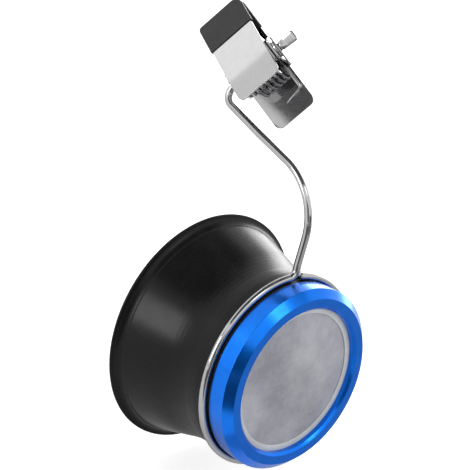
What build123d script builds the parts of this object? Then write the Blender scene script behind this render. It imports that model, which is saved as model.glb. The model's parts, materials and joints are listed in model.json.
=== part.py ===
from build123d import *
import math
import os

os.makedirs("parts", exist_ok=True)

# A loupe that clips on an eyeglass frame. The optical axis is Y, the front faces -Y, the eye rim
# lies in y = 0, +Z is up as worn. Millimetres throughout.

# Fits and clearances
running_clearance = 0.05
loop_clearance = 0.08
wire_gap = 0.125
push_clearance = 0.03
lens_clearance = 0.05
sleeve_touch_gap = 0.04
spring_rest_gap = 0.08
coil_plate_gap = 0.5
coil_side_gap = 0.11
ear_gap = 0.1
bend_start_gap = 0.03
cut_overrun = 1.0

# Loupe, overall
bezel_radius = 18.0
loupe_length = 27.3
rim_overhang = 5.0
rim_radius = bezel_radius + rim_overhang

# Bezel
bezel_length = 5.1
bezel_wall = 1.6
bezel_chamfer = 1.5
window_bevel = 0.5
lip_thickness = 1.4
bezel_back_break = 0.3
thread_radius = bezel_radius - bezel_wall
front_y = -loupe_length
bezel_back_y = front_y + bezel_length

# Wire and the groove that its loop runs in
wire_diameter = 1.45
groove_depth = 0.3
bezel_seat_gap = 0.1
wire_radius = wire_diameter / 2
groove_radius = bezel_radius - groove_depth
loop_radius = groove_radius + loop_clearance + wire_radius
groove_front_y = bezel_back_y + bezel_seat_gap
wire_y = groove_front_y + wire_gap + wire_radius
groove_back_y = wire_y + wire_radius + wire_gap

# Lens barrel and what it holds, from the bezel's lip towards the eye
barrel_wall = 1.3
barrel_front_gap = 0.25
window_lip = 0.8
gasket_thickness = 0.3
front_gasket_width = 1.85
rear_gasket_width = 0.65
lens_edge = 2.0
front_lens_curve_radius = 90.0
rear_lens_curve_radius = 60.0
spacer_length = 4.0
spacer_wall = 1.15
field_stop_thickness = 0.4
field_stop_width = 2.45
barrel_lip_thickness = 1.2
barrel_lip_width = 1.5
pocket_radius = thread_radius - barrel_wall
window_radius = pocket_radius - window_lip
lens_radius = pocket_radius - lens_clearance
front_gasket_inner_radius = lens_radius - front_gasket_width
rear_gasket_inner_radius = lens_radius - rear_gasket_width
spacer_inner_radius = lens_radius - spacer_wall
field_stop_inner_radius = lens_radius - field_stop_width
barrel_lip_radius = pocket_radius - barrel_lip_width
gasket_front_y = front_y + lip_thickness
front_lens_y = gasket_front_y + gasket_thickness
spacer_y = front_lens_y + lens_edge
rear_lens_y = spacer_y + spacer_length
rear_gasket_y = rear_lens_y + lens_edge
field_stop_y = rear_gasket_y + gasket_thickness
barrel_seat_y = field_stop_y + field_stop_thickness
barrel_back_y = barrel_seat_y + barrel_lip_thickness

# Eyecup
shoulder_step = 0.6
shoulder_length = 1.8
waist_draw = 0.15
waist_y = -16.0
cup_front_wall = 1.7
cup_seat_width = 0.7
flare_arc_radius = 20.0
cone_end_y = -2.4
lip_overhang = 1.73
lip_root_rise = 0.35
rim_edge = 0.7
rim_round = 0.3
rim_width = 2.3
mouth_land = 1.6
cavity_wall = 1.9
shoulder_radius = groove_radius + shoulder_step
waist_radius = shoulder_radius - waist_draw
barrel_push_radius = shoulder_radius - cup_front_wall
cup_bore_radius = barrel_push_radius + push_clearance
cavity_front_radius = barrel_push_radius - cup_seat_width
mouth_radius = rim_radius - rim_width

# Levers, in the clip's frame: x along the pin, y towards the jaw tips, z towards the front lever
lever_half_gap = 3.5
plate_thickness = 0.4
tab_length = 11.3
tab_corner_radius = 1.4
front_half_width = 4.75
rear_inset = 0.13
ear_thickness = 0.45
rear_ear_front_y = 3.9
rear_ear_back_y = -3.0
rear_ear_top_z = 1.7
rear_ear_top_front_y = 2.4
rear_ear_top_back_y = -1.9
ear_corner_radius = 0.8
crease_y = 1.33
crease_drop = 0.3
jaw_length = 13.2
tongue_angle = 21.5
tongue_length = 6.3
tongue_corner_radius = 1.3
front_ear_rim = 1.125
front_ear_front_y = 3.6
front_ear_back_y = -2.6
pin_hole_radius = wire_radius + running_clearance
front_ear_radius = pin_hole_radius + front_ear_rim
front_ear_inner = front_half_width - plate_thickness
rear_half_width = front_half_width - rear_inset
rear_ear_inner = front_half_width + ear_gap
rear_ear_outer = rear_ear_inner + ear_thickness
rear_plate_z = -lever_half_gap
rear_back_z = rear_plate_z - plate_thickness
crease_z = lever_half_gap - crease_drop

# Jaw sleeves
sleeve_wall = 0.25
front_sleeve_length = 6.6
rear_sleeve_length = 7.2
sharp_corner_radius = 0.5
round_corner_radius = 1.6

# Hinge tube and torsion spring
tube_wall = 0.475
spring_wire_diameter = 0.6
coil_gap = 0.455
long_leg = 6.6
cross_run_x = 3.9
cross_run_y = 0.8
leg_bend_radius = 0.9
short_leg = 3.3
tube_radius = pin_hole_radius + tube_wall
spring_radius = spring_wire_diameter / 2
coil_radius = lever_half_gap - spring_radius - coil_plate_gap
coil_y = tube_radius + running_clearance + spring_radius - coil_radius
coil_pitch = spring_wire_diameter + coil_gap
coil_start_x = front_ear_inner - spring_radius - coil_side_gap

# Washers, friction leaf and the flattened end of the wire
left_washer_thickness = 0.2
right_washer_thickness = 0.4
washer_width = 0.925
leaf_thickness = 0.4
leaf_rim = 0.35
leaf_front_y = 2.8
leaf_back_y = -3.9
leaf_end_round = 0.4
paddle_root_gap = 0.05
neck_length = 0.8
paddle_length = 2.3
paddle_half_width = 1.12
paddle_thickness = 0.9
paddle_corner_radius = 0.55
swage_chamfer = 0.25
swage_shoulder = 0.16
washer_radius = pin_hole_radius + washer_width
leaf_half_width = pin_hole_radius + leaf_rim
leaf_x = rear_ear_outer + right_washer_thickness
paddle_root_x = leaf_x + leaf_thickness + paddle_root_gap
neck_end_x = paddle_root_x + neck_length

# Wire arm: from the loop up to the foot, the shoulder, the elbow and the corner of the hinge pin
loop_bend_radius = 1.6
free_end_gap = 0.35
free_end_round = 0.4
foot_rise = 0.86
shoulder_lean = 1.65
shoulder_rise = 14.7
elbow_side = -0.15
elbow_run = 16.9
elbow_rise = 5.4
pin_corner_side = -0.34
pin_corner_run = 10.4
pin_corner_rise = 3.9
foot_bend_radius = 6.0
shoulder_bend_radius = 11.5
elbow_bend_radius = 25.0
pin_bend_radius = 2.3
pin_direction = Vector(0.3904, -0.4793, 0.7860).normalized()
lever_direction = Vector(-0.8971, -0.3900, 0.2078)
bend_height = math.sqrt((loop_radius + loop_bend_radius) ** 2 - loop_bend_radius**2)
arm_foot = Vector(0, wire_y, bend_height + foot_rise)
arm_shoulder = arm_foot + Vector(0, -shoulder_lean, shoulder_rise)
arm_elbow = arm_shoulder + Vector(elbow_side, elbow_run, elbow_rise)
last_run = Vector(pin_corner_side, pin_corner_run, pin_corner_rise)
pin_corner = arm_elbow + last_run
pin_turn = math.radians(last_run.get_angle(pin_direction))
pin_corner_reach = (
    rear_ear_outer + left_washer_thickness + bend_start_gap + pin_bend_radius * math.tan(pin_turn / 2)
)
hinge_centre = pin_corner + pin_direction * pin_corner_reach

clip = Plane(origin=hinge_centre, x_dir=pin_direction, z_dir=lever_direction)


def in_clip(x, y, z):
    return clip.from_local_coords(Vector(x, y, z))


def side_plane(x):
    # plane across the pin at x, whose sketch axes are the clip's y and z
    return Plane(origin=in_clip(x, 0, 0), x_dir=clip.y_dir, z_dir=clip.x_dir)


def round_corner(end, side, radius):
    # rounds one corner of the current sketch: end 0 is low y, -1 high y; side 0 is low x, -1 high x
    fillet(vertices().group_by(Axis.Y)[end].sort_by(Axis.X)[side], radius=radius)


def plate_rectangle(half_width, low_y, high_y):
    with Locations((0, low_y)):
        Rectangle(2 * half_width, high_y - low_y, align=(Align.CENTER, Align.MIN))


def end_circle(candidates, centre):
    # the edge whose centre of mass lies nearest to the centre of a tube's end face
    return candidates.sort_by(lambda edge: (edge.center(CenterOf.MASS) - centre).length)[0]


def plain_ring(inner_radius, outer_radius, front, length):
    # plain ring about the optical axis
    with BuildPart() as ring:
        with BuildSketch(Plane.XY):
            with Locations((inner_radius, front)):
                Rectangle(outer_radius - inner_radius, length, align=(Align.MIN, Align.MIN))
        revolve(axis=Axis.Y)
    return ring


def save(part, name):
    part.label = name
    export_step(part, f"parts/{name}.step")


# Loupe

with BuildPart() as bezel:
    with BuildSketch(Plane.XY):
        with BuildLine():
            Polyline(
                (window_radius + window_bevel, front_y),
                (bezel_radius - bezel_chamfer, front_y),
                (bezel_radius, front_y + bezel_chamfer),
                (bezel_radius, bezel_back_y - bezel_back_break),
                (bezel_radius - bezel_back_break, bezel_back_y),
                (thread_radius + running_clearance, bezel_back_y),
                (thread_radius + running_clearance, gasket_front_y),
                (window_radius, gasket_front_y),
                (window_radius, front_y + window_bevel),
                close=True,
            )
        make_face()
    revolve(axis=Axis.Y)
save(bezel.part, "bezel")

with BuildPart() as lens_barrel:
    with BuildSketch(Plane.XY):
        with BuildLine():
            Polyline(
                (pocket_radius, gasket_front_y + barrel_front_gap),
                (thread_radius, gasket_front_y + barrel_front_gap),
                (thread_radius, groove_front_y),
                (groove_radius, groove_front_y),
                (groove_radius, groove_back_y),
                (barrel_push_radius, groove_back_y),
                (barrel_push_radius, barrel_back_y),
                (barrel_lip_radius, barrel_back_y),
                (barrel_lip_radius, barrel_seat_y),
                (pocket_radius, barrel_seat_y),
                close=True,
            )
        make_face()
    revolve(axis=Axis.Y)
save(lens_barrel.part, "lens_barrel")

# the cone runs from the lip's root and touches the arc that rises from the waist
flare_centre = (waist_radius + flare_arc_radius, waist_y)
cone_end = (rim_radius - lip_overhang, cone_end_y)
cone_end_distance = math.dist(flare_centre, cone_end)
flare = math.atan2(cone_end_y - waist_y, flare_centre[0] - cone_end[0]) - math.acos(
    flare_arc_radius / cone_end_distance
)
flare_end = (
    flare_centre[0] - flare_arc_radius * math.cos(flare),
    flare_centre[1] + flare_arc_radius * math.sin(flare),
)
flare_middle = (
    flare_centre[0] - flare_arc_radius * math.cos(flare / 2),
    flare_centre[1] + flare_arc_radius * math.sin(flare / 2),
)
lip_outer = (rim_radius, -rim_edge)
lip_middle = (
    (cone_end[0] + lip_outer[0]) / 2 - lip_root_rise,
    (cone_end[1] + lip_outer[1]) / 2 + lip_root_rise,
)

with BuildPart() as eyecup:
    with BuildSketch(Plane.XY):
        with BuildLine():
            Polyline(
                (cup_bore_radius, groove_back_y),
                (shoulder_radius, groove_back_y),
                (shoulder_radius, groove_back_y + shoulder_length),
                (waist_radius, waist_y),
            )
            ThreePointArc((waist_radius, waist_y), flare_middle, flare_end)
            Line(flare_end, cone_end)
            ThreePointArc(cone_end, lip_middle, lip_outer)
            Polyline(
                lip_outer,
                (rim_radius, -rim_round),
                (rim_radius - rim_round, 0),
                (mouth_radius, 0),
                (mouth_radius, -mouth_land),
                (flare_end[0] - cavity_wall, flare_end[1]),
                (cavity_front_radius, barrel_back_y),
                (cup_bore_radius, barrel_back_y),
                (cup_bore_radius, groove_back_y),
            )
        make_face()
    revolve(axis=Axis.Y)
save(eyecup.part, "eyecup")


def convex_lens(curve_radius, curve_edge, edge_y, back_y):
    # the front is convex inside curve_edge and flat outside it, the back is flat
    def face_y(radius):
        return edge_y + math.sqrt(curve_radius**2 - curve_edge**2) - math.sqrt(curve_radius**2 - radius**2)

    with BuildPart() as lens:
        with BuildSketch(Plane.XY):
            with BuildLine():
                ThreePointArc(
                    (0, face_y(0)), (curve_edge / 2, face_y(curve_edge / 2)), (curve_edge, edge_y)
                )
                Polyline(
                    (curve_edge, edge_y),
                    (lens_radius, edge_y),
                    (lens_radius, back_y),
                    (0, back_y),
                    (0, face_y(0)),
                )
            make_face()
        revolve(axis=Axis.Y)
    return lens


front_lens = convex_lens(front_lens_curve_radius, front_gasket_inner_radius, front_lens_y, spacer_y)
save(front_lens.part, "front_lens")
rear_lens = convex_lens(rear_lens_curve_radius, spacer_inner_radius, rear_lens_y, rear_gasket_y)
save(rear_lens.part, "rear_lens")

front_gasket = plain_ring(front_gasket_inner_radius, lens_radius, gasket_front_y, gasket_thickness)
save(front_gasket.part, "front_gasket")
lens_spacer = plain_ring(spacer_inner_radius, lens_radius, spacer_y, spacer_length)
save(lens_spacer.part, "lens_spacer")
rear_gasket = plain_ring(rear_gasket_inner_radius, lens_radius, rear_gasket_y, gasket_thickness)
save(rear_gasket.part, "rear_gasket")
field_stop = plain_ring(field_stop_inner_radius, lens_radius, field_stop_y, field_stop_thickness)
save(field_stop.part, "field_stop")

# Clip: rear lever, with outer ears

rear_sleeve_face_z = rear_plate_z + sleeve_wall
jaw_reach = jaw_length + sleeve_wall
jaw_depth = plate_thickness + sleeve_wall
jaw_drop = crease_z - rear_sleeve_face_z - sleeve_touch_gap
jaw_slope = math.asin(jaw_drop / math.hypot(jaw_reach, jaw_depth)) - math.atan2(jaw_depth, jaw_reach)
tip_y = crease_y + jaw_length * math.cos(jaw_slope)


def rear_ear_outline():
    Polyline(
        (rear_ear_front_y, rear_back_z),
        (rear_ear_front_y, rear_plate_z),
        (rear_ear_top_front_y, rear_ear_top_z),
        (rear_ear_top_back_y, rear_ear_top_z),
        (rear_ear_back_y, rear_plate_z),
        (rear_ear_back_y, rear_back_z),
        close=True,
    )


with BuildPart() as rear_lever:
    with BuildSketch(clip.offset(rear_back_z)):
        plate_rectangle(rear_half_width, -tab_length, tip_y)
        round_corner(0, 0, tab_corner_radius)
        round_corner(0, -1, tab_corner_radius)
        round_corner(-1, 0, sharp_corner_radius)
        round_corner(-1, -1, round_corner_radius)
    extrude(amount=plate_thickness)
    with BuildSketch(clip.offset(rear_back_z)):
        plate_rectangle(rear_ear_outer, rear_ear_back_y, rear_ear_front_y)
    extrude(amount=plate_thickness)
    for face_x in (-rear_ear_outer, rear_ear_inner):
        with BuildSketch(side_plane(face_x)):
            with BuildLine():
                rear_ear_outline()
            make_face()
            fillet(vertices().group_by(Axis.Y)[-1], radius=ear_corner_radius)
        extrude(amount=ear_thickness)
    with BuildSketch(side_plane(-rear_ear_outer - cut_overrun)):
        Circle(pin_hole_radius)
    extrude(amount=2 * (rear_ear_outer + cut_overrun), mode=Mode.SUBTRACT)
save(rear_lever.part, "rear_lever")

# Front lever: jaw plate and tongue meet at the crease, ears inside the rear ears

tongue_slope = math.radians(tongue_angle)
crease = in_clip(0, crease_y, crease_z)
jaw_normal = clip.y_dir * math.sin(jaw_slope) + clip.z_dir * math.cos(jaw_slope)
jaw_plane = Plane(origin=crease, x_dir=clip.x_dir, z_dir=jaw_normal)
tongue_normal = clip.y_dir * math.sin(tongue_slope) + clip.z_dir * math.cos(tongue_slope)
tongue_plane = Plane(origin=crease, x_dir=clip.x_dir, z_dir=tongue_normal)
ear_root_z = crease_z - plate_thickness / 2


def front_ear_outline():
    Polyline(
        (front_ear_front_y, ear_root_z - (front_ear_front_y - crease_y) * math.tan(jaw_slope)),
        (crease_y, ear_root_z),
        (front_ear_back_y, ear_root_z + (crease_y - front_ear_back_y) * math.tan(tongue_slope)),
        (-front_ear_radius, 0),
        (front_ear_radius, 0),
        close=True,
    )


with BuildPart() as front_lever:
    with BuildSketch(jaw_plane):
        plate_rectangle(front_half_width, 0, jaw_length)
        round_corner(-1, 0, sharp_corner_radius)
        round_corner(-1, -1, round_corner_radius)
    extrude(amount=-plate_thickness)
    with BuildSketch(tongue_plane):
        plate_rectangle(front_half_width, -tongue_length, 0)
        round_corner(0, 0, tongue_corner_radius)
        round_corner(0, -1, tongue_corner_radius)
    extrude(amount=-plate_thickness)
    for face_x in (-front_half_width, front_ear_inner):
        with BuildSketch(side_plane(face_x)):
            with BuildLine():
                front_ear_outline()
            make_face()
            Circle(front_ear_radius)
        extrude(amount=plate_thickness)
    with BuildSketch(side_plane(-front_half_width - cut_overrun)):
        Circle(pin_hole_radius)
    extrude(amount=2 * (front_half_width + cut_overrun), mode=Mode.SUBTRACT)
save(front_lever.part, "front_lever")

# Rubber sleeves, closed over the tips of the jaws


def jaw_sleeve(plate_face, half_width, tip, length):
    # plate_face is the face of the jaw plate whose thickness lies below it
    with BuildPart() as sleeve:
        with BuildSketch(plate_face.offset(-plate_thickness - sleeve_wall)):
            plate_rectangle(half_width + sleeve_wall, tip + sleeve_wall - length, tip + sleeve_wall)
            round_corner(-1, 0, sharp_corner_radius + sleeve_wall)
            round_corner(-1, -1, round_corner_radius + sleeve_wall)
        extrude(amount=plate_thickness + 2 * sleeve_wall)
        with BuildSketch(plate_face.offset(-plate_thickness)):
            plate_rectangle(half_width, tip + sleeve_wall - length - cut_overrun, tip)
            round_corner(-1, 0, sharp_corner_radius)
            round_corner(-1, -1, round_corner_radius)
        extrude(amount=plate_thickness, mode=Mode.SUBTRACT)
    return sleeve


front_jaw_sleeve = jaw_sleeve(jaw_plane, front_half_width, jaw_length, front_sleeve_length)
save(front_jaw_sleeve.part, "front_jaw_sleeve")
rear_jaw_sleeve = jaw_sleeve(clip.offset(rear_plate_z), rear_half_width, tip_y, rear_sleeve_length)
save(rear_jaw_sleeve.part, "rear_jaw_sleeve")

# Hinge tube, washers and friction leaf on the pin


def pin_ring(outer_radius, low_x, length):
    with BuildPart() as piece:
        with BuildSketch(side_plane(low_x)):
            Circle(outer_radius)
            Circle(pin_hole_radius, mode=Mode.SUBTRACT)
        extrude(amount=length)
    return piece


tube_half_length = front_ear_inner - running_clearance
hinge_tube = pin_ring(tube_radius, -tube_half_length, 2 * tube_half_length)
save(hinge_tube.part, "hinge_tube")
left_friction_washer = pin_ring(
    washer_radius, -rear_ear_outer - left_washer_thickness, left_washer_thickness
)
save(left_friction_washer.part, "left_friction_washer")
right_friction_washer = pin_ring(washer_radius, rear_ear_outer, right_washer_thickness)
save(right_friction_washer.part, "right_friction_washer")

with BuildPart() as friction_leaf:
    with BuildSketch(side_plane(leaf_x)):
        with Locations((leaf_back_y, 0)):
            Rectangle(leaf_front_y - leaf_back_y, 2 * leaf_half_width, align=(Align.MIN, Align.CENTER))
        fillet(vertices(), radius=leaf_end_round)
        Circle(pin_hole_radius, mode=Mode.SUBTRACT)
    extrude(amount=leaf_thickness)
save(friction_leaf.part, "friction_leaf")

# Torsion spring: cross run, long leg on the rear tab, coil, short leg under the tongue

leg_drop = lever_half_gap - spring_radius - spring_rest_gap
long_leg_tilt = math.atan2(long_leg, coil_radius) - math.acos(
    leg_drop / math.hypot(long_leg, coil_radius)
)
tongue_offset = (
    crease_y * math.sin(tongue_slope) + crease_z * math.cos(tongue_slope)
    - plate_thickness - spring_radius - spring_rest_gap - coil_y * math.sin(tongue_slope)
)
short_leg_tilt = math.atan2(short_leg, coil_radius) - math.acos(
    tongue_offset / math.hypot(short_leg, coil_radius)
)
coil_start_angle = long_leg_tilt - math.pi / 2
coil_end_angle = math.pi / 2 - tongue_slope - short_leg_tilt
part_turn = coil_end_angle - coil_start_angle
coil_turns = math.floor(2 * coil_start_x / coil_pitch - part_turn / (2 * math.pi))
coil_sweep = part_turn + 2 * math.pi * coil_turns
coil_lead = coil_pitch / (2 * math.pi)


def coil_point(turned):
    angle = coil_start_angle + turned
    return in_clip(
        coil_start_x - coil_lead * turned,
        coil_y + coil_radius * math.cos(angle),
        coil_radius * math.sin(angle),
    )


def coil_tangent(turned, lead):
    angle = coil_start_angle + turned
    tangent = (
        clip.y_dir * (-coil_radius * math.sin(angle))
        + clip.z_dir * (coil_radius * math.cos(angle))
        - clip.x_dir * lead
    )
    return tangent.normalized()


def biarc(start, start_tangent, end, end_tangent):
    # two tangent arcs with equal tangent lengths
    chord = end - start
    both = start_tangent + end_tangent
    quadratic = 2 * start_tangent.dot(end_tangent) - 2
    linear = chord.dot(both)
    reach = (linear - math.sqrt(linear**2 - quadratic * chord.dot(chord))) / quadratic
    first_pole = start + start_tangent * reach
    last_pole = end - end_tangent * reach
    joint = (first_pole + last_pole) / 2
    TangentArc(start, joint, tangent=start_tangent)
    TangentArc(joint, end, tangent=(last_pole - first_pole).normalized())


half_turns = math.ceil(coil_sweep / math.pi)
with BuildPart() as torsion_spring:
    with BuildLine() as spring_path:
        leg_end = coil_point(0) - coil_tangent(0, 0) * long_leg
        run_end = leg_end - clip.x_dir * cross_run_x - clip.y_dir * cross_run_y
        FilletPolyline(run_end, leg_end, coil_point(0), radius=leg_bend_radius)
        for step in range(half_turns):
            low = coil_sweep * step / half_turns
            high = coil_sweep * (step + 1) / half_turns
            low_lead = coil_lead if step > 0 else 0
            high_lead = coil_lead if step < half_turns - 1 else 0
            biarc(coil_point(low), coil_tangent(low, low_lead), coil_point(high), coil_tangent(high, high_lead))
        Line(coil_point(coil_sweep), coil_point(coil_sweep) + coil_tangent(coil_sweep, 0) * short_leg)
    with BuildSketch(Plane(origin=spring_path.line @ 0, z_dir=spring_path.line % 0)):
        Circle(spring_radius)
    sweep()
save(torsion_spring.part, "torsion_spring")

spring_centreline = spring_path.wire()
spring_length = spring_centreline.length
spring_samples = 1500
spring_points = [
    spring_centreline.position_at(step / spring_samples) for step in range(spring_samples + 1)
]
half_turn_samples = int(math.pi * coil_radius / spring_length * spring_samples)
least_gap = min(
    (spring_points[a] - spring_points[b]).length - spring_wire_diameter
    for a in range(0, spring_samples + 1, 2)
    for b in range(a + half_turn_samples, spring_samples + 1, 2)
)
print("spring: least gap to itself", round(least_gap, 3), "mm")
print(
    "spring: volume over section times length",
    round(torsion_spring.part.volume / (math.pi * spring_radius**2 * spring_length), 4),
)

# Wire arm: split loop round the barrel, arm, and the straight end that is the hinge pin

loop_end_angle = -math.asin(loop_bend_radius / (loop_radius + loop_bend_radius))
free_end_angle = math.asin((wire_radius + free_end_gap) / (loop_radius - wire_radius))
pin_end = in_clip(neck_end_x, 0, 0)


def on_loop(angle):
    # clockwise from the top, seen from the front
    return Vector(loop_radius * math.sin(angle), wire_y, loop_radius * math.cos(angle))


def on_loop_bend(angle):
    return Vector(
        loop_bend_radius * (math.cos(angle) - 1), wire_y, bend_height + loop_bend_radius * math.sin(angle)
    )


loop_bend_start = -math.atan2(bend_height, loop_bend_radius)
with BuildPart() as wire_arm:
    with BuildLine() as wire_path:
        ThreePointArc(on_loop(free_end_angle), on_loop(math.pi / 2), on_loop(math.pi))
        ThreePointArc(
            on_loop(math.pi), on_loop(3 * math.pi / 2), on_loop(2 * math.pi + loop_end_angle)
        )
        ThreePointArc(
            on_loop_bend(loop_bend_start), on_loop_bend(loop_bend_start / 2), on_loop_bend(0)
        )
        FilletPolyline(
            on_loop_bend(0),
            arm_foot,
            arm_shoulder,
            arm_elbow,
            pin_corner,
            pin_end,
            radius=[foot_bend_radius, shoulder_bend_radius, elbow_bend_radius, pin_bend_radius],
        )
    with BuildSketch(Plane(origin=wire_path.line @ 0, z_dir=wire_path.line % 0)):
        Circle(wire_radius)
    sweep()
    print(
        "wire: volume over section times length",
        round(wire_arm.part.volume / (math.pi * wire_radius**2 * wire_path.wire().length), 4),
    )
    fillet(end_circle(edges(), wire_path.line @ 0), radius=free_end_round)
    chamfer(end_circle(edges(), wire_path.line @ 1), length=swage_chamfer)
    with BuildSketch(clip.offset(-paddle_thickness / 2)):
        with BuildLine():
            Polyline(
                (paddle_root_x, -wire_radius - swage_shoulder),
                (neck_end_x, -paddle_half_width),
                (neck_end_x + paddle_length, -paddle_half_width),
                (neck_end_x + paddle_length, paddle_half_width),
                (neck_end_x, paddle_half_width),
                (paddle_root_x, wire_radius + swage_shoulder),
                close=True,
            )
        make_face()
        fillet(vertices().group_by(Axis.X)[-1], radius=paddle_corner_radius)
    extrude(amount=paddle_thickness)
save(wire_arm.part, "wire_arm")

print("hinge centre", [round(value, 4) for value in hinge_centre])
print("pin direction", [round(value, 6) for value in clip.x_dir])
print("jaw direction", [round(value, 6) for value in clip.y_dir])
print("lever direction", [round(value, 6) for value in clip.z_dir])
print("spring turns", coil_turns, "coil centre at y", round(coil_y, 3))
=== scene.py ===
import json
import math

import bmesh
import bpy
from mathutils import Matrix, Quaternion, Vector


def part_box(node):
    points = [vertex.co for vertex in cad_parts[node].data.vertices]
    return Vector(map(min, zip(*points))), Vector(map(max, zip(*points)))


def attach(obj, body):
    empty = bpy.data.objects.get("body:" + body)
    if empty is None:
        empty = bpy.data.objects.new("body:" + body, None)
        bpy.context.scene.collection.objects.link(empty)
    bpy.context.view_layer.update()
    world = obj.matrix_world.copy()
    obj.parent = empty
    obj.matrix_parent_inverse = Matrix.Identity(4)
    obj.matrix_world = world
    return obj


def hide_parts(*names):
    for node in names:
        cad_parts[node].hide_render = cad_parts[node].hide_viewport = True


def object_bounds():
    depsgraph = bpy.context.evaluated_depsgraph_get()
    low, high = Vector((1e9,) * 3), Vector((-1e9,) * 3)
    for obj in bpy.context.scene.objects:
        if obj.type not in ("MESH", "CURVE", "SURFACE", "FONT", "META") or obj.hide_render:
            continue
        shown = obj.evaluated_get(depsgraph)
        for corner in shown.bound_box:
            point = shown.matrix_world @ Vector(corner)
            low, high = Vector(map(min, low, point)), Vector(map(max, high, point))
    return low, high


# Clip-on loupe: the turned pieces of the magnifier, the bent wire and the sprung clip are
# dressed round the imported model. Lengths are metres, and mm turns millimetres into metres.

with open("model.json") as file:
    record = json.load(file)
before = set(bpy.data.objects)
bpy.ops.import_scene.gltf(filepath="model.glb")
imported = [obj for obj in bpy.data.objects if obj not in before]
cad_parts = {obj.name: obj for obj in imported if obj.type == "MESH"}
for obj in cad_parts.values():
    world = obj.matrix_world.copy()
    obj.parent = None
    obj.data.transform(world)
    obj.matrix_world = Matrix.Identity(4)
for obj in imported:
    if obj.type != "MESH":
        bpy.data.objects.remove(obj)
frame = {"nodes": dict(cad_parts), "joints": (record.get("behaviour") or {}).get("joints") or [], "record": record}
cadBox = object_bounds()
mm = 0.001
joints = {joint["name"]: joint for joint in frame["joints"]}
mounts = {mount["name"]: mount for mount in frame["record"]["mounts"]}
hingeCentre = Vector(joints["arm_swivel"]["pos_m"])
pinDirection = Vector(joints["arm_swivel"]["axis"]).normalized()
leverDirection = pinDirection.cross(Vector(mounts["jaw_grip"]["axis"])).normalized()
jawDirection = leverDirection.cross(pinDirection)
print("frame loaded:", len(frame["nodes"]), "nodes")


def inClip(x, y, z):
    # x along the hinge pin, y towards the jaw tips, z towards the front lever, in millimetres
    return hingeCentre + mm * (x * pinDirection + y * jawDirection + z * leverDirection)


# Shader groups, built once and shared by the materials

def newGroup(name, inputs, outputs):
    group = bpy.data.node_groups.new(name, "ShaderNodeTree")
    for label, kind, value in inputs:
        socket = group.interface.new_socket(name=label, in_out="INPUT", socket_type=kind)
        if value is not None:
            socket.default_value = value
    for label, kind in outputs:
        group.interface.new_socket(name=label, in_out="OUTPUT", socket_type=kind)
    return group, group.nodes.new("NodeGroupInput"), group.nodes.new("NodeGroupOutput")


def addNode(tree, kind, sockets=None, **settings):
    # sockets gives an input either a value or the output that feeds it
    node = tree.nodes.new(kind)
    for key, value in settings.items():
        setattr(node, key, value)
    for key, value in (sockets or {}).items():
        if isinstance(value, bpy.types.NodeSocket):
            tree.links.new(value, node.inputs[key])
        else:
            node.inputs[key].default_value = value
    return node


def mottleGroup():
    # soft clouds between two values
    group, given, out = newGroup(
        "surfaceMottle",
        [
            ("Vector", "NodeSocketVector", None),
            ("Scale", "NodeSocketFloat", 400.0),
            ("Detail", "NodeSocketFloat", 4.0),
            ("Low", "NodeSocketFloat", 0.2),
            ("High", "NodeSocketFloat", 0.3),
        ],
        [("Value", "NodeSocketFloat")],
    )
    noise = addNode(group, "ShaderNodeTexNoise", {
        "Vector": given.outputs["Vector"],
        "Scale": given.outputs["Scale"],
        "Detail": given.outputs["Detail"],
        "Roughness": 0.6,
    })
    spread = addNode(group, "ShaderNodeMapRange", {
        "Value": noise.outputs["Fac"],
        "From Min": 0.22,
        "From Max": 0.78,
        "To Min": given.outputs["Low"],
        "To Max": given.outputs["High"],
    }, interpolation_type="SMOOTHSTEP")
    group.links.new(spread.outputs["Result"], out.inputs["Value"])
    return group


def turningGroup():
    # fine lathe lines round the optical axis, random in depth
    group, given, out = newGroup(
        "turningLines",
        [("Vector", "NodeSocketVector", None), ("Pitch", "NodeSocketFloat", 0.06 * mm)],
        [("Height", "NodeSocketFloat")],
    )
    parts = addNode(group, "ShaderNodeSeparateXYZ", {"Vector": given.outputs["Vector"]})
    flat = addNode(group, "ShaderNodeCombineXYZ", {"X": parts.outputs["X"], "Y": parts.outputs["Z"]})
    radius = addNode(group, "ShaderNodeVectorMath", {0: flat.outputs["Vector"]}, operation="LENGTH")
    along = addNode(group, "ShaderNodeMath", {
        0: radius.outputs["Value"], 1: parts.outputs["Y"],
    }, operation="SUBTRACT")
    turns = addNode(group, "ShaderNodeMath", {
        0: along.outputs["Value"], 1: given.outputs["Pitch"],
    }, operation="DIVIDE")
    noise = addNode(group, "ShaderNodeTexNoise", {
        "W": turns.outputs["Value"], "Scale": 1.0, "Detail": 3.0,
    }, noise_dimensions="1D")
    group.links.new(noise.outputs["Fac"], out.inputs["Height"])
    return group


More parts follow.
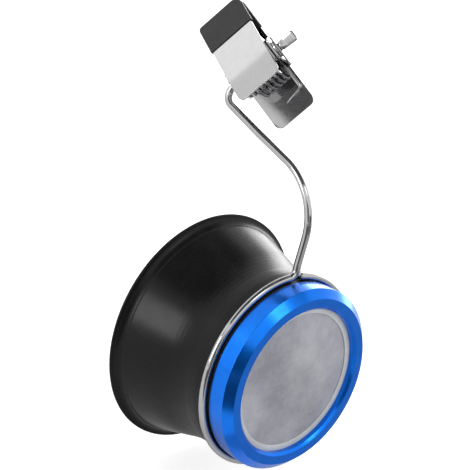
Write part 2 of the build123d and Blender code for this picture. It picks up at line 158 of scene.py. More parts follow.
def drawnGroup():
    # long streaks along a drawn wire, from the attributes that the sweep stores
    group, given, out = newGroup(
        "drawnStreaks",
        [
            ("Around", "NodeSocketFloat", 0.0),
            ("Along", "NodeSocketFloat", 0.0),
            ("Stretch", "NodeSocketFloat", 90.0),
        ],
        [("Height", "NodeSocketFloat")],
    )
    angle = addNode(group, "ShaderNodeMath", {
        0: given.outputs["Around"], 1: 2 * math.pi,
    }, operation="MULTIPLY")
    side = addNode(group, "ShaderNodeMath", {0: angle.outputs["Value"]}, operation="COSINE")
    rise = addNode(group, "ShaderNodeMath", {0: angle.outputs["Value"]}, operation="SINE")
    run = addNode(group, "ShaderNodeMath", {
        0: given.outputs["Along"], 1: given.outputs["Stretch"],
    }, operation="MULTIPLY")
    place = addNode(group, "ShaderNodeCombineXYZ", {
        "X": side.outputs["Value"], "Y": rise.outputs["Value"], "Z": run.outputs["Value"],
    })
    noise = addNode(group, "ShaderNodeTexNoise", {
        "Vector": place.outputs["Vector"], "Scale": 5.0, "Detail": 5.0,
    })
    group.links.new(noise.outputs["Fac"], out.inputs["Height"])
    return group


mottle = mottleGroup()
turning = turningGroup()
drawn = drawnGroup()


# Materials

def newMaterial(name, **sockets):
    material = bpy.data.materials.new(name)
    material.use_nodes = True
    tree = material.node_tree
    tree.nodes.clear()
    shader = addNode(tree, "ShaderNodeBsdfPrincipled")
    for key, value in sockets.items():
        shader.inputs[key].default_value = value
    output = addNode(tree, "ShaderNodeOutputMaterial")
    tree.links.new(shader.outputs["BSDF"], output.inputs["Surface"])
    coordinates = addNode(tree, "ShaderNodeTexCoord")
    return material, tree, shader, coordinates.outputs["Object"]


def addMottle(tree, vector, scale, low, high, detail=4.0):
    clouds = addNode(tree, "ShaderNodeGroup", {
        "Vector": vector, "Scale": scale, "Low": low, "High": high, "Detail": detail,
    }, node_tree=mottle)
    return clouds.outputs["Value"]


def mixColours(tree, factor, low, high):
    mix = addNode(tree, "ShaderNodeMix", data_type="RGBA")
    tree.links.new(factor, mix.inputs["Factor"])
    mix.inputs["A"].default_value = (*low, 1)
    mix.inputs["B"].default_value = (*high, 1)
    return mix.outputs["Result"]


def cloudedColour(tree, shader, place, finish):
    cloud = addMottle(tree, place, finish["cloudScale"], 0.0, 1.0)
    tree.links.new(mixColours(tree, cloud, finish["dark"], finish["pale"]), shader.inputs["Base Color"])


def unevenGloss(tree, shader, place, finish):
    gloss = addMottle(tree, place, finish["glossScale"], *finish["roughness"])
    tree.links.new(gloss, shader.inputs["Roughness"])


def addBump(tree, shader, height, strength, distance):
    bump = addNode(tree, "ShaderNodeBump", {
        "Height": height, "Strength": strength, "Distance": distance,
    })
    tree.links.new(bump.outputs["Normal"], shader.inputs["Normal"])


def fineGrain(tree, shader, place, finish):
    grain = addMottle(tree, place, finish["grainScale"], 0.0, 1.0)
    addBump(tree, shader, grain, finish["grainStrength"], finish["grainDepth"])


def latheLines(tree, shader, place, finish):
    lines = addNode(tree, "ShaderNodeGroup", {
        "Vector": place, "Pitch": finish["linePitch"],
    }, node_tree=turning)
    addBump(tree, shader, lines.outputs["Height"], finish["lineStrength"], finish["lineDepth"])


cupFinish = {
    "dark": (0.004, 0.004, 0.0045),
    "pale": (0.007, 0.007, 0.0075),
    "cloudScale": 160.0,
    "roughness": (0.24, 0.30),
    "glossScale": 90.0,
    "grainScale": 2600.0,
    "grainStrength": 0.35,
    "grainDepth": 0.006 * mm,
}


def cupPlastic():
    material, tree, shader, place = newMaterial("cupPlastic", **{"IOR": 1.5, "Specular IOR Level": 0.2})
    cloudedColour(tree, shader, place, cupFinish)
    unevenGloss(tree, shader, place, cupFinish)
    fineGrain(tree, shader, place, cupFinish)
    return material


barrelFinish = {
    "dark": (0.012, 0.012, 0.012),
    "pale": (0.0192, 0.0192, 0.0192),
    "cloudScale": 200.0,
    "roughness": (0.4, 0.55),
    "glossScale": 300.0,
    "linePitch": 0.12 * mm,
    "lineStrength": 0.4,
    "lineDepth": 0.01 * mm,
}


def barrelPlastic():
    material, tree, shader, place = newMaterial("barrelPlastic")
    cloudedColour(tree, shader, place, barrelFinish)
    unevenGloss(tree, shader, place, barrelFinish)
    latheLines(tree, shader, place, barrelFinish)
    return material


bezelFinish = {
    "dark": (0.002, 0.175, 0.86),
    "pale": (0.003, 0.215, 0.98),
    "cloudScale": 220.0,
    "roughness": (0.20, 0.27),
    "glossScale": 500.0,
    "linePitch": 0.07 * mm,
    "lineStrength": 0.3,
    "lineDepth": 0.0035 * mm,
}


def blueAnodised():
    material, tree, shader, place = newMaterial("blueAnodised", **{
        "Metallic": 1.0, "Coat Weight": 0.25, "Coat Roughness": 0.12,
    })
    cloudedColour(tree, shader, place, bezelFinish)
    unevenGloss(tree, shader, place, bezelFinish)
    latheLines(tree, shader, place, bezelFinish)
    return material


filmFinish = {
    "dark": (0.27, 0.27, 0.305),
    "pale": (0.53, 0.53, 0.575),
    "cloudScale": 90.0,
    "cloudDetail": 5.0,
    "fleckScale": 900.0,
    "fleckDetail": 2.0,
    "fleckShare": 0.16,
    "roughness": (0.22, 0.5),
    "glossScale": 90.0,
    "waveStrength": 0.15,
    "waveDepth": 0.02 * mm,
}


def filmedGlass():
    # lens with the thin cloudy film that covers its front
    material, tree, shader, place = newMaterial("filmedGlass", **{
        "IOR": 1.49, "Transmission Weight": 0.12,
    })
    cloud = addMottle(tree, place, filmFinish["cloudScale"], 0.0, 1.0, filmFinish["cloudDetail"])
    fleck = addMottle(
        tree, place, filmFinish["fleckScale"], 0.0, filmFinish["fleckShare"], filmFinish["fleckDetail"]
    )
    both = addNode(tree, "ShaderNodeMath", {0: cloud, 1: fleck}, operation="SUBTRACT", use_clamp=True)
    colour = mixColours(tree, both.outputs["Value"], filmFinish["dark"], filmFinish["pale"])
    tree.links.new(colour, shader.inputs["Base Color"])
    unevenGloss(tree, shader, place, filmFinish)
    addBump(tree, shader, cloud, filmFinish["waveStrength"], filmFinish["waveDepth"])
    return material


clearFinish = {"roughness": (0.01, 0.05), "glossScale": 250.0}


def clearGlass():
    material, tree, shader, place = newMaterial("clearGlass", **{
        "Base Color": (0.95, 0.97, 0.98, 1), "IOR": 1.49, "Transmission Weight": 1.0,
    })
    unevenGloss(tree, shader, place, clearFinish)
    return material


ringFinish = {
    "dark": (0.01, 0.01, 0.01),
    "pale": (0.02, 0.02, 0.02),
    "cloudScale": 225.0,
    "roughness": (0.35, 0.5),
    "glossScale": 900.0,
    "grainScale": 1800.0,
    "grainStrength": 0.4,
    "grainDepth": 0.005 * mm,
}
gasketFinish = {
    "dark": (0.48, 0.50, 0.50),
    "pale": (0.60, 0.62, 0.62),
    "cloudScale": 225.0,
    "roughness": (0.3, 0.42),
    "glossScale": 900.0,
    "grainScale": 1800.0,
    "grainStrength": 0.4,
    "grainDepth": 0.01 * mm,
}
rubberFinish = {
    "dark": (0.012, 0.012, 0.013),
    "pale": (0.018, 0.018, 0.020),
    "cloudScale": 375.0,
    "roughness": (0.42, 0.55),
    "glossScale": 1500.0,
    "grainScale": 3000.0,
    "grainStrength": 0.4,
    "grainDepth": 0.02 * mm,
}
greyCardFinish = {
    "dark": (0.08, 0.08, 0.08),
    "pale": (0.10, 0.10, 0.10),
    "cloudScale": 5.0,
    "roughness": (0.8, 0.9),
    "glossScale": 20.0,
    "grainScale": 40.0,
    "grainStrength": 0.4,
    "grainDepth": 0.1 * mm,
}
paleCardFinish = {**greyCardFinish, "dark": (0.46, 0.46, 0.46), "pale": (0.50, 0.50, 0.50)}


def grainySurface(name, finish):
    # rings, gaskets, rubber and the studio's cards
    material, tree, shader, place = newMaterial(name)
    cloudedColour(tree, shader, place, finish)
    unevenGloss(tree, shader, place, finish)
    fineGrain(tree, shader, place, finish)
    return material


wireFinish = {
    "dark": (0.40, 0.40, 0.41),
    "pale": (0.62, 0.62, 0.63),
    "roughness": (0.09, 0.17),
    "glossScale": 500.0,
    "streakStretch": 90.0,
    "streakStrength": 0.3,
    "streakDepth": 0.004 * mm,
}


def streakedSteel(name, finish):
    material, tree, shader, place = newMaterial(name, **{"Metallic": 1.0})
    around = addNode(tree, "ShaderNodeAttribute", attribute_name="aroundWire")
    along = addNode(tree, "ShaderNodeAttribute", attribute_name="alongWire")
    streaks = addNode(tree, "ShaderNodeGroup", {
        "Around": around.outputs["Fac"], "Along": along.outputs["Fac"], "Stretch": finish["streakStretch"],
    }, node_tree=drawn)
    colour = mixColours(tree, streaks.outputs["Height"], finish["dark"], finish["pale"])
    tree.links.new(colour, shader.inputs["Base Color"])
    unevenGloss(tree, shader, place, finish)
    addBump(tree, shader, streaks.outputs["Height"], finish["streakStrength"], finish["streakDepth"])
    return material


springFinish = {
    "dark": (0.42, 0.42, 0.43),
    "pale": (0.66, 0.66, 0.67),
    "roughness": (0.16, 0.28),
    "glossScale": 500.0,
    "streakStretch": 90.0,
    "streakStrength": 0.3,
    "streakDepth": 0.004 * mm,
}
sheetFinish = {
    "dark": (0.50, 0.50, 0.505),
    "pale": (0.53, 0.53, 0.535),
    "cloudScale": 700.0,
    "roughness": (0.06, 0.09),
    "glossScale": 1200.0,
    "waveScale": 300.0,
    "waveDetail": 1.0,
    "waveStrength": 0.3,
    "waveDepth": 0.001 * mm,
}


def platedSheet():
    # bright nickel over pressed sheet, faintly wavy
    material, tree, shader, place = newMaterial("platedSheet", **{"Metallic": 1.0})
    cloudedColour(tree, shader, place, sheetFinish)
    unevenGloss(tree, shader, place, sheetFinish)
    wave = addMottle(tree, place, sheetFinish["waveScale"], 0.0, 1.0, sheetFinish["waveDetail"])
    addBump(tree, shader, wave, sheetFinish["waveStrength"], sheetFinish["waveDepth"])
    return material


finishes = {
    "black_cup": cupPlastic(),
    "black_barrel": barrelPlastic(),
    "blue_anodised": blueAnodised(),
    "lens_glass": filmedGlass(),
    "rear_glass": clearGlass(),
    "black_ring": grainySurface("blackRing", ringFinish),
    "gasket": grainySurface("gasketRing", gasketFinish),
    "polished_wire": streakedSteel("polishedWire", wireFinish),
    "plated_sheet": platedSheet(),
    "spring_steel": streakedSteel("springSteel", springFinish),
    "sleeve_rubber": grainySurface("sleeveRubber", rubberFinish),
    "grey_card": grainySurface("greyCard", greyCardFinish),
    "pale_card": grainySurface("paleCard", paleCardFinish),
}
print("materials made:", len(finishes))


# Geometry trees: a turned ring from a profile, and a round wire along a path

meshing = {
    "mergeDistance": 0.0002 * mm,
    "sliceTolerance": 0.002 * mm,
    "seamDistance": 0.0005 * mm,
    "straightAngle": math.radians(0.6),
    "flatAngle": math.radians(1),
    "edgeAngle": math.radians(35),
    "edgeSteps": 3,
    "filletSteps": 4,
    "faceWeight": 80,
}


def newTree(name, inputs):
    tree = bpy.data.node_groups.new(name, "GeometryNodeTree")
    tree.interface.new_socket(name="Geometry", in_out="INPUT", socket_type="NodeSocketGeometry")
    for label, kind in inputs:
        tree.interface.new_socket(name=label, in_out="INPUT", socket_type=kind)
    tree.interface.new_socket(name="Geometry", in_out="OUTPUT", socket_type="NodeSocketGeometry")
    return tree, tree.nodes.new("NodeGroupInput"), tree.nodes.new("NodeGroupOutput")


def closeTree(tree, given, out, geometry):
    smooth = addNode(tree, "GeometryNodeSetShadeSmooth", {"Geometry": geometry})
    real = addNode(tree, "GeometryNodeRealizeInstances", {"Geometry": smooth.outputs["Geometry"]})
    dressed = addNode(tree, "GeometryNodeSetMaterial", {
        "Geometry": real.outputs["Geometry"], "Material": given.outputs["Material"],
    })
    tree.links.new(dressed.outputs["Geometry"], out.inputs["Geometry"])
    return tree


def turnedTree():
    # the input is a profile chain, x its radius and y its place on the optical axis
    tree, given, out = newTree("turnedRing", [
        ("Path Radius", "NodeSocketFloat"),
        ("Edge Radius", "NodeSocketFloat"),
        ("Edge Steps", "NodeSocketInt"),
        ("Segments", "NodeSocketInt"),
        ("Material", "NodeSocketMaterial"),
    ])
    chain = addNode(tree, "GeometryNodeMeshToCurve", {"Mesh": given.outputs["Geometry"]})
    rounded = addNode(tree, "GeometryNodeFilletCurve", {
        "Curve": chain.outputs["Curve"],
        "Radius": given.outputs["Edge Radius"],
        "Count": given.outputs["Edge Steps"],
        "Limit Radius": True,
    }, mode="POLY")
    inward = addNode(tree, "ShaderNodeMath", {0: given.outputs["Path Radius"], 1: -1.0}, operation="MULTIPLY")
    shift = addNode(tree, "ShaderNodeCombineXYZ", {"X": inward.outputs["Value"]})
    profile = addNode(tree, "GeometryNodeTransform", {
        "Geometry": rounded.outputs["Curve"], "Translation": shift.outputs["Vector"],
    })
    path = addNode(tree, "GeometryNodeCurvePrimitiveCircle", {
        "Radius": given.outputs["Path Radius"], "Resolution": given.outputs["Segments"],
    })
    ring = addNode(tree, "GeometryNodeCurveToMesh", {
        "Curve": path.outputs["Curve"], "Profile Curve": profile.outputs["Geometry"],
    })
    joined = addNode(tree, "GeometryNodeMergeByDistance", {
        "Geometry": ring.outputs["Mesh"], "Distance": meshing["seamDistance"],
    })
    upright = addNode(tree, "GeometryNodeTransform", {
        "Geometry": joined.outputs["Geometry"], "Rotation": (math.pi / 2, 0, 0),
    })
    return closeTree(tree, given, out, upright.outputs["Geometry"])


def wireTree():
    # the input is a path chain with the attributes bendRadius and wireScale on its points
    tree, given, out = newTree("roundWire", [
        ("Wire Radius", "NodeSocketFloat"),
        ("Sides", "NodeSocketInt"),
        ("Bend Steps", "NodeSocketInt"),
        ("Material", "NodeSocketMaterial"),
    ])
    chain = addNode(tree, "GeometryNodeMeshToCurve", {"Mesh": given.outputs["Geometry"]})
    bends = addNode(tree, "GeometryNodeInputNamedAttribute", {"Name": "bendRadius"}, data_type="FLOAT")
    scale = addNode(tree, "GeometryNodeInputNamedAttribute", {"Name": "wireScale"}, data_type="FLOAT")
    bent = addNode(tree, "GeometryNodeFilletCurve", {
        "Curve": chain.outputs["Curve"],
        "Radius": bends.outputs["Attribute"],
        "Count": given.outputs["Bend Steps"],
        "Limit Radius": False,
    }, mode="POLY")
    sized = addNode(tree, "GeometryNodeSetCurveRadius", {
        "Curve": bent.outputs["Curve"], "Radius": scale.outputs["Attribute"],
    })
    length = addNode(tree, "GeometryNodeSplineParameter")
    marked = addNode(tree, "GeometryNodeStoreNamedAttribute", {
        "Geometry": sized.outputs["Curve"], "Name": "alongWire", "Value": length.outputs["Length"],
    }, data_type="FLOAT", domain="POINT")
    section = addNode(tree, "GeometryNodeCurvePrimitiveCircle", {
        "Radius": given.outputs["Wire Radius"], "Resolution": given.outputs["Sides"],
    })
    turn = addNode(tree, "GeometryNodeSplineParameter")
    edged = addNode(tree, "GeometryNodeStoreNamedAttribute", {
        "Geometry": section.outputs["Curve"], "Name": "aroundWire", "Value": turn.outputs["Factor"],
    }, data_type="FLOAT", domain="POINT")
    tube = addNode(tree, "GeometryNodeCurveToMesh", {
        "Curve": marked.outputs["Geometry"],
        "Profile Curve": edged.outputs["Geometry"],
        "Scale": scale.outputs["Attribute"],
        "Fill Caps": True,
    })
    return closeTree(tree, given, out, tube.outputs["Mesh"])


turnedRing = turnedTree()
roundWire = wireTree()


# Helpers that make and finish pieces

def addObject(name, mesh):
    piece = bpy.data.objects.new(name, mesh)
    bpy.context.scene.collection.objects.link(piece)
    return piece


def evaluatedMesh(piece):
    depsgraph = bpy.context.evaluated_depsgraph_get()
    return bpy.data.meshes.new_from_object(
        piece.evaluated_get(depsgraph), preserve_all_data_layers=True, depsgraph=depsgraph
    )


def chainObject(name, points, closed=False, attributes=None):
    mesh = bpy.data.meshes.new(name)
    edges = [(index, index + 1) for index in range(len(points) - 1)]
    if closed:
        edges.append((len(points) - 1, 0))
    mesh.from_pydata(points, edges, [])
    for key, values in (attributes or {}).items():
        mesh.attributes.new(key, "FLOAT", "POINT").data.foreach_set("value", values)
    return addObject(name, mesh)


def growMesh(name, chain, tree, values):
    # runs a geometry tree on a chain and keeps the result as a plain mesh
    modifier = chain.modifiers.new("tree", "NODES")
    modifier.node_group = tree
    for item in tree.interface.items_tree:
        if item.item_type == "SOCKET" and item.in_out == "INPUT" and item.name in values:
            modifier[item.identifier] = values[item.name]
    mesh = evaluatedMesh(chain)
    mesh.name = name
    chain.modifiers.remove(modifier)
    bpy.data.objects.remove(chain)
    return mesh


def outwardFaces(mesh):
    work = bmesh.new()
    work.from_mesh(mesh)
    bmesh.ops.recalc_face_normals(work, faces=work.faces[:])
    work.to_mesh(mesh)
    work.free()


def evenNormals(piece):
    # large faces keep their own normals and the small rounded edges take up the turn
    weighted = piece.modifiers.new("normals", "WEIGHTED_NORMAL")
    weighted.mode = "FACE_AREA"
    weighted.weight = meshing["faceWeight"]
    mesh = evaluatedMesh(piece)
    piece.modifiers.clear()
    piece.data = mesh


def dress(piece, slot, body, nodes, finish=None):
    piece.data.materials.clear()
    piece.data.materials.append(finishes[finish or slot])
    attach(piece, body)
    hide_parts(*nodes)


def mergedCopy(node):
    work = bmesh.new()
    work.from_mesh(frame["nodes"][node].data)
    bmesh.ops.remove_doubles(work, verts=work.verts[:], dist=meshing["mergeDistance"])
    return work


def sliceProfile(node):
    # the half section of a turned node as an ordered chain of (radius, place on the axis)
    work = mergedCopy(node)
    tiny = meshing["sliceTolerance"]
    for across in ((1, 0, 0), (0, 0, 1)):
        everything = work.verts[:] + work.edges[:] + work.faces[:]
        bmesh.ops.bisect_plane(
            work, geom=everything, dist=tiny, plane_co=(0, 0, 0), plane_no=across
        )
    half = [
        edge for edge in work.edges
        if all(abs(vert.co.z) < tiny and vert.co.x > -tiny for vert in edge.verts)
        and edge.calc_length() > 0
    ]
    ends = {}
    for edge in half:
        for vert in edge.verts:
            ends.setdefault(vert, []).append(edge)
    loose = [vert for vert, touching in ends.items() if len(touching) == 1]
    current = loose[0] if loose else next(iter(ends))
    points, used = [], set()
    for _ in half:
        points.append(Vector((max(current.co.x, 0), current.co.y, 0)))
        onward = [edge for edge in ends[current] if edge not in used]
        if not onward:
            break
        used.add(onward[0])
        current = onward[0].other_vert(current)
    if loose:
        points.append(Vector((max(current.co.x, 0), current.co.y, 0)))
    work.free()
    return cleanChain(points, not loose), not loose


def cleanChain(points, closed):
    # leaves out points on straight stretches
    kept = []
    for index, point in enumerate(points):
        atEnd = not closed and index in (0, len(points) - 1)
        before = point - points[index - 1]
        after = points[(index + 1) % len(points)] - point
        apart = before.length > 0 and after.length > 0
        if atEnd or (apart and before.angle(after) > meshing["straightAngle"]):
            kept.append(point)
    return kept


def turnedPiece(name, node, edgeRadius, slot, body, finish=None):
    points, closed = sliceProfile(node)
    chain = chainObject(name + "Profile", points, closed)
    mesh = growMesh(name, chain, turnedRing, {
        "Path Radius": max(point.x for point in points),
        "Edge Radius": edgeRadius,
        "Edge Steps": meshing["filletSteps"],
        "Segments": turnedSizes["segments"],
        "Material": finishes[finish or slot],
    })
    outwardFaces(mesh)
    piece = addObject(name, mesh)
    evenNormals(piece)
    dress(piece, slot, body, [node], finish)


def pressedPiece(name, node, edgeRadius, slot, body):
    # a copy of the node with its flat faces joined up and its edges rounded
    work = mergedCopy(node)
    bmesh.ops.dissolve_limit(
        work, angle_limit=meshing["flatAngle"], verts=work.verts[:], edges=work.edges[:], delimit={"NORMAL"}
    )
    mesh = bpy.data.meshes.new(name)
    work.to_mesh(mesh)
    work.free()
    piece = addObject(name, mesh)
    bevel = piece.modifiers.new("edges", "BEVEL")
    bevel.width = edgeRadius
    bevel.segments = meshing["edgeSteps"]
    bevel.limit_method = "ANGLE"
    bevel.angle_limit = meshing["edgeAngle"]
    piece.data = evaluatedMesh(piece)
    piece.modifiers.clear()
    piece.data.shade_smooth()
    evenNormals(piece)
    dress(piece, slot, body, [node])


# Turned pieces of the magnifier

turnedSizes = {
    "cupEdge": 0.25 * mm,
    "bezelEdge": 0.09 * mm,
    "barrelEdge": 0.08 * mm,
    "lensEdge": 0.12 * mm,
    "ringEdge": 0.06 * mm,
    "segments": 192,
}
turnedPiece("eyecupShell", "eyecup", turnedSizes["cupEdge"], "black_cup", "loupe")
turnedPiece("frontBezel", "bezel", turnedSizes["bezelEdge"], "blue_anodised", "bezel")
turnedPiece("lensBarrel", "lens_barrel", turnedSizes["barrelEdge"], "black_barrel", "loupe")
turnedPiece("frontLens", "front_lens", turnedSizes["lensEdge"], "lens_glass", "loupe")
turnedPiece("rearLens", "rear_lens", turnedSizes["lensEdge"], "lens_glass", "loupe", "rear_glass")
turnedPiece("lensSpacer", "lens_spacer", turnedSizes["ringEdge"], "black_ring", "loupe")
turnedPiece("frontGasket", "front_gasket", turnedSizes["ringEdge"], "gasket", "gasket")
turnedPiece("rearGasket", "rear_gasket", turnedSizes["ringEdge"], "gasket", "loupe")
turnedPiece("fieldStop", "field_stop", turnedSizes["ringEdge"], "black_ring", "loupe")
print("turned pieces made")


# Wire: split loop, arm and hinge pin in one bend line, with a flattened end

wire = {
    "radius": 0.725,
    "sides": 40,
    "bendSteps": 28,
    "loopBend": 1.6,
    "freeEndGap": 0.35,
    "freeEndRound": 0.4,
    "freeEndSteps": 5,
    "loopSteps": 150,
    "loopBendSteps": 20,
    "footRise": 0.86,
    "shoulder": Vector((0, -1.65, 14.7)),
    "elbow": Vector((-0.15, 16.9, 5.4)),
    "pinCorner": Vector((-0.34, 10.4, 3.9)),
    "bends": (6.0, 11.5, 25.0, 2.3),
    "pinEnd": 6.15,
}
paddle = {
    "halfWidth": 1.12,
    "halfThickness": 0.42,
    "neckHalfWidth": 0.90,
    "neck": 1.3,
    "length": 2.3,
    "endRound": 0.55,
    "around": 40,
    "rootOverlap": 0.25,
    "roundPower": 2.0,
    "flatPower": 4.5,
    "flareSteps": 12,
    "endSteps": 8,
    "endThinning": 0.5,
}


def wirePath():
    # millimetres, clockwise round the loop from its free end, then up the arm
    radius = wire["radius"]
    loop = -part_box("wire_arm")[0].z / mm - radius
    depth = joints["loupe_turn"]["pos_m"][1] / mm
    firstAngle = math.asin((radius + wire["freeEndGap"]) / (loop - radius))
    lastAngle = 2 * math.pi - math.asin(wire["loopBend"] / (loop + wire["loopBend"]))
    points, scales = [], []
    roundAngle = wire["freeEndRound"] / loop
    # the free end's edge is rounded off
    for step in range(wire["freeEndSteps"] + 1):
        share = step / wire["freeEndSteps"]
        points.append(loopPoint(loop, depth, firstAngle + roundAngle * share))
        inset = wire["freeEndRound"] * (1 - math.sqrt(1 - (1 - share) ** 2))
        scales.append(1 - inset / radius)
    roundEnd = firstAngle + roundAngle
    for step in range(1, wire["loopSteps"] + 1):
        share = step / wire["loopSteps"]
        points.append(loopPoint(loop, depth, roundEnd + (lastAngle - roundEnd) * share))
        scales.append(1)
    bendHeight = math.sqrt((loop + wire["loopBend"]) ** 2 - wire["loopBend"] ** 2)
    bendStart = -math.atan2(bendHeight, wire["loopBend"])
    for step in range(1, wire["loopBendSteps"] + 1):
        angle = bendStart * (1 - step / wire["loopBendSteps"])
        points.append(Vector((
            wire["loopBend"] * (math.cos(angle) - 1),
            depth,
            bendHeight + wire["loopBend"] * math.sin(angle),
        )))
        scales.append(1)
    bends = [0.0] * len(points)
    foot = Vector((0, depth, bendHeight + wire["footRise"]))
    shoulder = foot + wire["shoulder"]
    elbow = shoulder + wire["elbow"]
    corner = elbow + wire["pinCorner"]
    armPoints = [foot, shoulder, elbow, corner, inClip(wire["pinEnd"], 0, 0) / mm]
    armBends = [*wire["bends"], 0.0]
    return points + armPoints, bends + armBends, scales + [1] * len(armPoints)


def loopPoint(loop, depth, angle):
    return Vector((loop * math.sin(angle), depth, loop * math.cos(angle)))


def paddleMesh():
    # sections across the pin, from the round wire to the flat end: place, half sizes, squareness
    start = wire["pinEnd"]
    root = start + paddle["neck"]
    tip = root + paddle["length"]
    radius, width, depth = wire["radius"], paddle["halfWidth"], paddle["halfThickness"]
    bend = paddle["endRound"]
    roundPower, flatPower = paddle["roundPower"], paddle["flatPower"]
    sections = [(start - paddle["rootOverlap"], radius, radius, roundPower)]
    flare = tip - bend - start
    for step in range(1, paddle["flareSteps"] + 1):
        share = step / paddle["flareSteps"]
        ease = min(1.0, share * flare / (root - start))
        ease = ease * ease * (3 - 2 * ease)
        sections.append((
            start + flare * share,
            paddle["neckHalfWidth"] + (width - paddle["neckHalfWidth"]) * share,
            radius + (depth - radius) * ease,
            roundPower + (flatPower - roundPower) * ease,
        ))
    for step in range(1, paddle["endSteps"] + 1):
        angle = math.pi / 2 * step / paddle["endSteps"]
        sections.append((
            tip - bend + bend * math.sin(angle),
            width - bend * (1 - math.cos(angle)),
            depth - paddle["endThinning"] * depth * (1 - math.cos(angle)),
            flatPower,
        ))
    work = bmesh.new()
    rings = []
    for place, halfWidth, halfDepth, power in sections:
        ring = []
        for side in range(paddle["around"]):
            angle = 2 * math.pi * side / paddle["around"]
            across = math.copysign(abs(math.cos(angle)) ** (2 / power), math.cos(angle))
            through = math.copysign(abs(math.sin(angle)) ** (2 / power), math.sin(angle))
            ring.append(work.verts.new(inClip(place, halfWidth * across, halfDepth * through)))
        rings.append(ring)
    for lower, upper in zip(rings, rings[1:]):
        for side in range(paddle["around"]):
            other = (side + 1) % paddle["around"]
            work.faces.new((lower[side], lower[other], upper[other], upper[side]))
    work.faces.new(rings[0])
    work.faces.new(rings[-1])
    return work


def wireArm():
    points, bends, scales = wirePath()
    chain = chainObject("wirePath", [mm * point for point in points], False, {
        "bendRadius": [mm * bend for bend in bends], "wireScale": scales,
    })
    mesh = growMesh("wireArm", chain, roundWire, {
        "Wire Radius": mm * wire["radius"],
        "Sides": wire["sides"],
        "Bend Steps": wire["bendSteps"],
        "Material": finishes["polished_wire"],
    })
    work = paddleMesh()
    flat = bpy.data.meshes.new("paddle")
    work.to_mesh(flat)
    work.free()
    outwardFaces(flat)
    both = bmesh.new()
    both.from_mesh(mesh)
    both.from_mesh(flat)
    both.to_mesh(mesh)
    both.free()
    bpy.data.meshes.remove(flat)
    outwardFaces(mesh)
    mesh.shade_smooth()
    piece = addObject("wireArm", mesh)
    evenNormals(piece)
    dress(piece, "polished_wire", "arm", ["wire_arm"])


wireArm()
print("wire arm made")


# Torsion spring: cross run, long leg on the rear tab, coil, short leg under the tongue

spring = {
    "wireRadius": 0.3,
    "coilRadius": 2.7,
    "pitch": 1.055,
    "startX": 3.94,
    "coilY": -1.1,
    "longLeg": 6.6,
    "shortLeg": 3.3,
    "crossRun": (3.9, 0.8),
    "legBend": 0.9,
    "startAngle": -86.3,
    "sweep": 2667.7,
    "stepsPerTurn": 48,
    "bendSteps": 10,
    "sides": 20,
}


def springPath():
    lead = spring["pitch"] / (2 * math.pi)
    start = math.radians(spring["startAngle"])
    sweep = math.radians(spring["sweep"])
    coil = spring["coilRadius"]

    def coilPoint(turned):
        angle = start + turned
        return Vector((
            spring["startX"] - lead * turned,
            spring["coilY"] + coil * math.cos(angle),
            coil * math.sin(angle),
        ))

    def along(turned):
        return Vector((0, -math.sin(start + turned), math.cos(start + turned)))

    legEnd = coilPoint(0) - spring["longLeg"] * along(0)
    runEnd = legEnd - Vector((*spring["crossRun"], 0))
    steps = round(sweep / (2 * math.pi) * spring["stepsPerTurn"])
    coilPoints = [coilPoint(sweep * step / steps) for step in range(steps + 1)]
    tip = coilPoints[-1] + spring["shortLeg"] * along(sweep)
    points = [runEnd, legEnd, *coilPoints, tip]
    bends = [0.0, spring["legBend"]] + [0.0] * (len(coilPoints) + 1)
    return [inClip(*point) for point in points], [mm * bend for bend in bends]


def torsionSpring():
    points, bends = springPath()
    chain = chainObject("springPath", points, False, {
        "bendRadius": bends, "wireScale": [1.0] * len(points),
    })
    mesh = growMesh("torsionSpring", chain, roundWire, {
        "Wire Radius": mm * spring["wireRadius"],
        "Sides": spring["sides"],
        "Bend Steps": spring["bendSteps"],
        "Material": finishes["spring_steel"],
    })
    outwardFaces(mesh)
    piece = addObject("torsionSpring", mesh)
    evenNormals(piece)
    dress(piece, "spring_steel", "clip", ["torsion_spring"])


torsionSpring()
print("spring made")


# Pressed and moulded pieces of the clip

clipEdges = {"plate": 0.07 * mm, "sleeve": 0.16 * mm, "washer": 0.05 * mm}
pressedPiece("rearLever", "rear_lever", clipEdges["plate"], "plated_sheet", "clip")
pressedPiece("frontLever", "front_lever", clipEdges["plate"], "plated_sheet", "jaw")
pressedPiece("frictionLeaf", "friction_leaf", clipEdges["plate"], "plated_sheet", "clip")
pressedPiece("rearJawSleeve", "rear_jaw_sleeve", clipEdges["sleeve"], "sleeve_rubber", "clip")
pressedPiece("frontJawSleeve", "front_jaw_sleeve", clipEdges["sleeve"], "sleeve_rubber", "jaw")
pressedPiece("hingeTube", "hinge_tube", clipEdges["washer"], "plated_sheet", "clip")
pressedPiece("leftWasher", "left_friction_washer", clipEdges["washer"], "plated_sheet", "arm")
pressedPiece("rightWasher", "right_friction_washer", clipEdges["washer"], "plated_sheet", "clip")
print("clip pieces made")


# Camera

camera = {
    "place": Vector((-0.2189, -0.2115, 0.1247)),
    "target": Vector((0.0077, 0.0027, 0.0168)),
    "roll": 10.23,
    "focalPixels": 1700.0,
    "imagePixels": 470,
    "sensorWidth": 36.0,
    "nearest": 0.01,
    "farthest": 20.0,
}


def addCamera():
    data = bpy.data.cameras.new("camera")
    data.sensor_width = camera["sensorWidth"]
    data.lens = data.sensor_width * camera["focalPixels"] / camera["imagePixels"]
    data.clip_start = camera["nearest"]
    data.clip_end = camera["farthest"]
    view = bpy.data.objects.new("camera", data)
    bpy.context.scene.collection.objects.link(view)
    aim = (camera["target"] - camera["place"]).to_track_quat("-Z", "Y")
    view.rotation_mode = "QUATERNION"
    view.rotation_quaternion = aim @ Quaternion((0, 0, 1), math.radians(camera["roll"]))
    view.location = camera["place"]
    bpy.context.scene.camera = view


addCamera()


# Studio: pale floor, white surroundings, soft boxes and cards

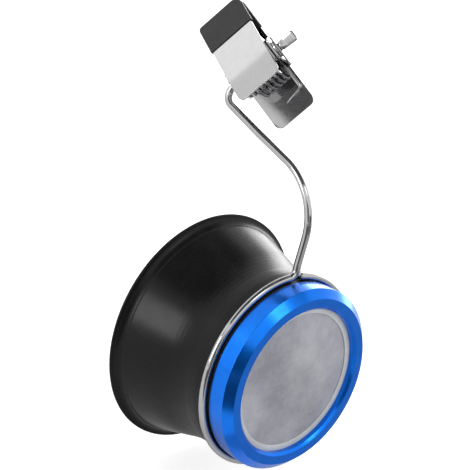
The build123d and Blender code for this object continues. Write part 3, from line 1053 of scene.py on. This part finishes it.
studio = {
    "white": (1, 1, 1, 1),
    "floorDrop": 3.0 * mm,
    "floorSize": 6.0,
    "floorPale": (0.86, 0.86, 0.86),
    "floorDark": (0.8514, 0.8514, 0.8514),
    "floorRoughness": 0.9,
    "floorSpecular": 0.1,
    "floorCloudScale": 3.0,
    "floorLift": 0.62,
    "surroundLight": 0.6,
}
softBoxes = [
    # name, place, size, brightness, whether gloss shows it
    ("leftBox", (-0.71, 0.11, 0.21), (0.16, 0.34), 7.5, True),
    ("chamferBox", (0.06, -0.58, 0.60), (0.26, 0.18), 2.6, True),
    ("backLeftBox", (-0.473, 0.56, 0.388), (0.20, 0.20), 0.42, True),
    ("rightBox", (0.69, 0.285, 0.075), (0.62, 0.45), 3.4, True),
    ("topBox", (0.0, -0.10, 0.80), (0.80, 0.80), 0.9, False),
    ("frontBox", (0.10, -0.80, 0.30), (0.50, 0.40), 2.4, False),
]
cards = [
    # name, centre, two half edges, finish: cards that only gloss shows
    ("topFlag", (-0.05, -0.035, 0.50), (0.45, 0, 0), (0, 0.315, 0), "grey_card"),
    ("cameraFlag", (-0.50, -0.52, 0.10), (0.18, -0.17, 0), (0, 0, 0.19), "grey_card"),
    ("tabFlag", (-0.10, -0.0182, 0.0632), (0, 0.0178, 0.0089), (0, -0.0029, 0.0058), "grey_card"),
    ("leftFloorFlag", (-0.155, -0.274, -0.0245), (0.125, 0, 0), (0, 0.226, 0), "grey_card"),
    ("frontFloorFlag", (0.143, -0.38, -0.0245), (0.157, 0, 0), (0, 0.22, 0), "grey_card"),
    ("frontFlag", (0.20, -0.62, 0.04), (0.35, 0, 0), (0, 0, 0.07), "grey_card"),
    ("faceCard", (0.08, -0.095, -0.0245), (0.10, 0, 0), (0, 0.065, 0), "pale_card"),
]


def seenDirectly(tree, kinds):
    # 1 for the named kinds of ray
    path = addNode(tree, "ShaderNodeLightPath")
    total = path.outputs[kinds[0]]
    for kind in kinds[1:]:
        total = addNode(tree, "ShaderNodeMath", {
            0: total, 1: path.outputs[kind],
        }, operation="ADD", use_clamp=True).outputs["Value"]
    return total


def surroundings():
    world = bpy.data.worlds.new("studio")
    world.use_nodes = True
    tree = world.node_tree
    tree.nodes.clear()
    strength = addNode(tree, "ShaderNodeMapRange", {
        "Value": seenDirectly(tree, ("Is Camera Ray", "Is Glossy Ray", "Is Transmission Ray")),
        "To Min": studio["surroundLight"],
        "To Max": 1.0,
    })
    background = addNode(tree, "ShaderNodeBackground", {
        "Color": studio["white"], "Strength": strength.outputs["Result"],
    })
    output = addNode(tree, "ShaderNodeOutputWorld")
    tree.links.new(background.outputs["Background"], output.inputs["Surface"])
    bpy.context.scene.world = world


def floorMaterial():
    material, tree, shader, place = newMaterial("paleFloor", **{
        "Roughness": studio["floorRoughness"], "Specular IOR Level": studio["floorSpecular"],
    })
    cloud = addMottle(tree, place, studio["floorCloudScale"], 0.0, 1.0)
    colour = mixColours(tree, cloud, studio["floorPale"], studio["floorDark"])
    tree.links.new(colour, shader.inputs["Base Color"])
    lift = addNode(tree, "ShaderNodeMapRange", {
        "Value": seenDirectly(tree, ("Is Camera Ray", "Is Transmission Ray")),
        "To Min": 0.0,
        "To Max": studio["floorLift"],
    })
    shader.inputs["Emission Color"].default_value = studio["white"]
    tree.links.new(lift.outputs["Result"], shader.inputs["Emission Strength"])
    return material


def addFloor():
    half = studio["floorSize"] / 2
    height = cadBox[0].z - studio["floorDrop"]
    mesh = bpy.data.meshes.new("floor")
    mesh.from_pydata(
        [(-half, -half, height), (half, -half, height), (half, half, height), (-half, half, height)],
        [], [(0, 1, 2, 3)],
    )
    mesh.materials.append(floorMaterial())
    addObject("floor", mesh)


def facing(place):
    return (camera["target"] - Vector(place)).to_track_quat("-Z", "Y")


def addSoftBox(name, place, size, brightness, inGloss):
    data = bpy.data.lights.new(name, "AREA")
    data.shape = "RECTANGLE"
    data.size, data.size_y = size
    data.energy = brightness * math.pi * size[0] * size[1]  # watts that give it this brightness
    lamp = bpy.data.objects.new(name, data)
    bpy.context.scene.collection.objects.link(lamp)
    lamp.location = place
    lamp.rotation_mode = "QUATERNION"
    lamp.rotation_quaternion = facing(place)
    lamp.visible_glossy = inGloss


def addCard(name, centre, halfEdge, otherHalfEdge, finish):
    middle, across, along = Vector(centre), Vector(halfEdge), Vector(otherHalfEdge)
    corners = [
        middle - across - along,
        middle + across - along,
        middle + across + along,
        middle - across + along,
    ]
    mesh = bpy.data.meshes.new(name)
    mesh.from_pydata(corners, [], [(0, 1, 2, 3)])
    mesh.materials.append(finishes[finish])
    card = addObject(name, mesh)
    card.visible_camera = False
    card.visible_diffuse = False
    card.visible_transmission = False
    card.visible_shadow = False


surroundings()
addFloor()
for row in softBoxes:
    addSoftBox(*row)
for row in cards:
    addCard(*row)
bpy.context.scene.view_settings.view_transform = "Standard"
print("studio made")
